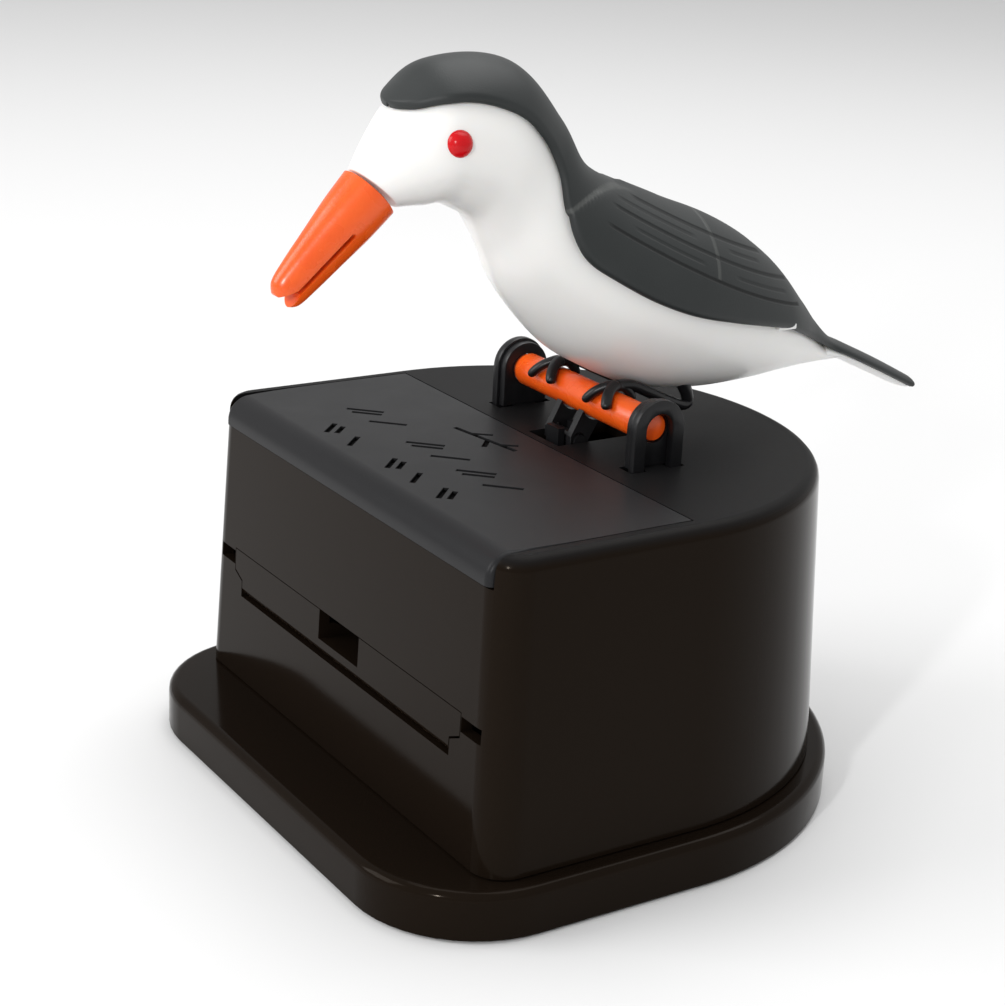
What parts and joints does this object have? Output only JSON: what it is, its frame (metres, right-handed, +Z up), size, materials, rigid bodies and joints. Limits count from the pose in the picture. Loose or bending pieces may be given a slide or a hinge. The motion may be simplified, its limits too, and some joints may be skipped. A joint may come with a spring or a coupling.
{
  "type": "bird toothpick dispenser",
  "caption": "D-shaped toothpick box with a bird on a turning perch rod that pitches forward and pecks a pick from a tilting tray.",
  "frame": {"origin": "on the underside, at the centre of the round rear end, level with the table", "axes": "+Z up, -Y the way the bird faces, +X across the box to the bird's left; x = 0 is the plane of symmetry"},
  "size_m": [0.092, 0.1156, 0.1088],
  "materials": {
    "gloss_black": "high gloss",
    "satin_black": "satin",
    "white": "satin",
    "orange": "gloss",
    "red": "high gloss",
    "steel": "bright"
  },
  "bodies": {
    "box": {"base_plate": "gloss_black", "base_screw_1": "steel", "base_screw_2": "steel", "base_screw_3": "steel", "base_screw_4": "steel", "bottom_cover": "satin_black", "hopper": "satin_black", "housing": "gloss_black", "lid": "satin_black", "perch_bracket_left": "gloss_black", "perch_bracket_right": "gloss_black", "return_spring": "steel"},
    "bird": {"perch_rod": "orange", "crank_cheek_left": "satin_black", "crank_cheek_right": "satin_black", "crank_pin": "steel", "bird_body": "white", "back_shell": "satin_black", "beak": "orange", "eye_left": "red", "eye_right": "red", "leg_left": "satin_black", "leg_right": "satin_black"},
    "tray": {"toothpick_tray": "gloss_black", "tray_drive_pin": "steel"},
    "slide": {"push_slide": "satin_black"}
  },
  "joints": [
    {"name": "bird_pitch", "type": "hinge", "parent": "box", "child": "bird", "pos_m": [0, 0.0077, 0.0576], "axis": [1, 0, 0], "range_deg": [0, 58], "stiffness_Nm_per_rad": 0.02, "springref_deg": -28.65},
    {"name": "slide_push", "type": "slide", "parent": "box", "child": "slide", "axis": [0, 1, 0], "range_m": [0, 0.0064], "deforming": ["return_spring"]},
    {"name": "tray_tilt", "type": "hinge", "parent": "box", "child": "tray", "pos_m": [0, -0.032, 0.0227], "axis": [1, 0, 0], "range_deg": [0, 55.5]}
  ],
  "couplings": [
    {"joint": "slide_push", "follows": "bird_pitch", "m_per_rad": 0.006226},
    {"joint": "tray_tilt", "follows": "bird_pitch", "ratio": 0.94828}
  ]
}
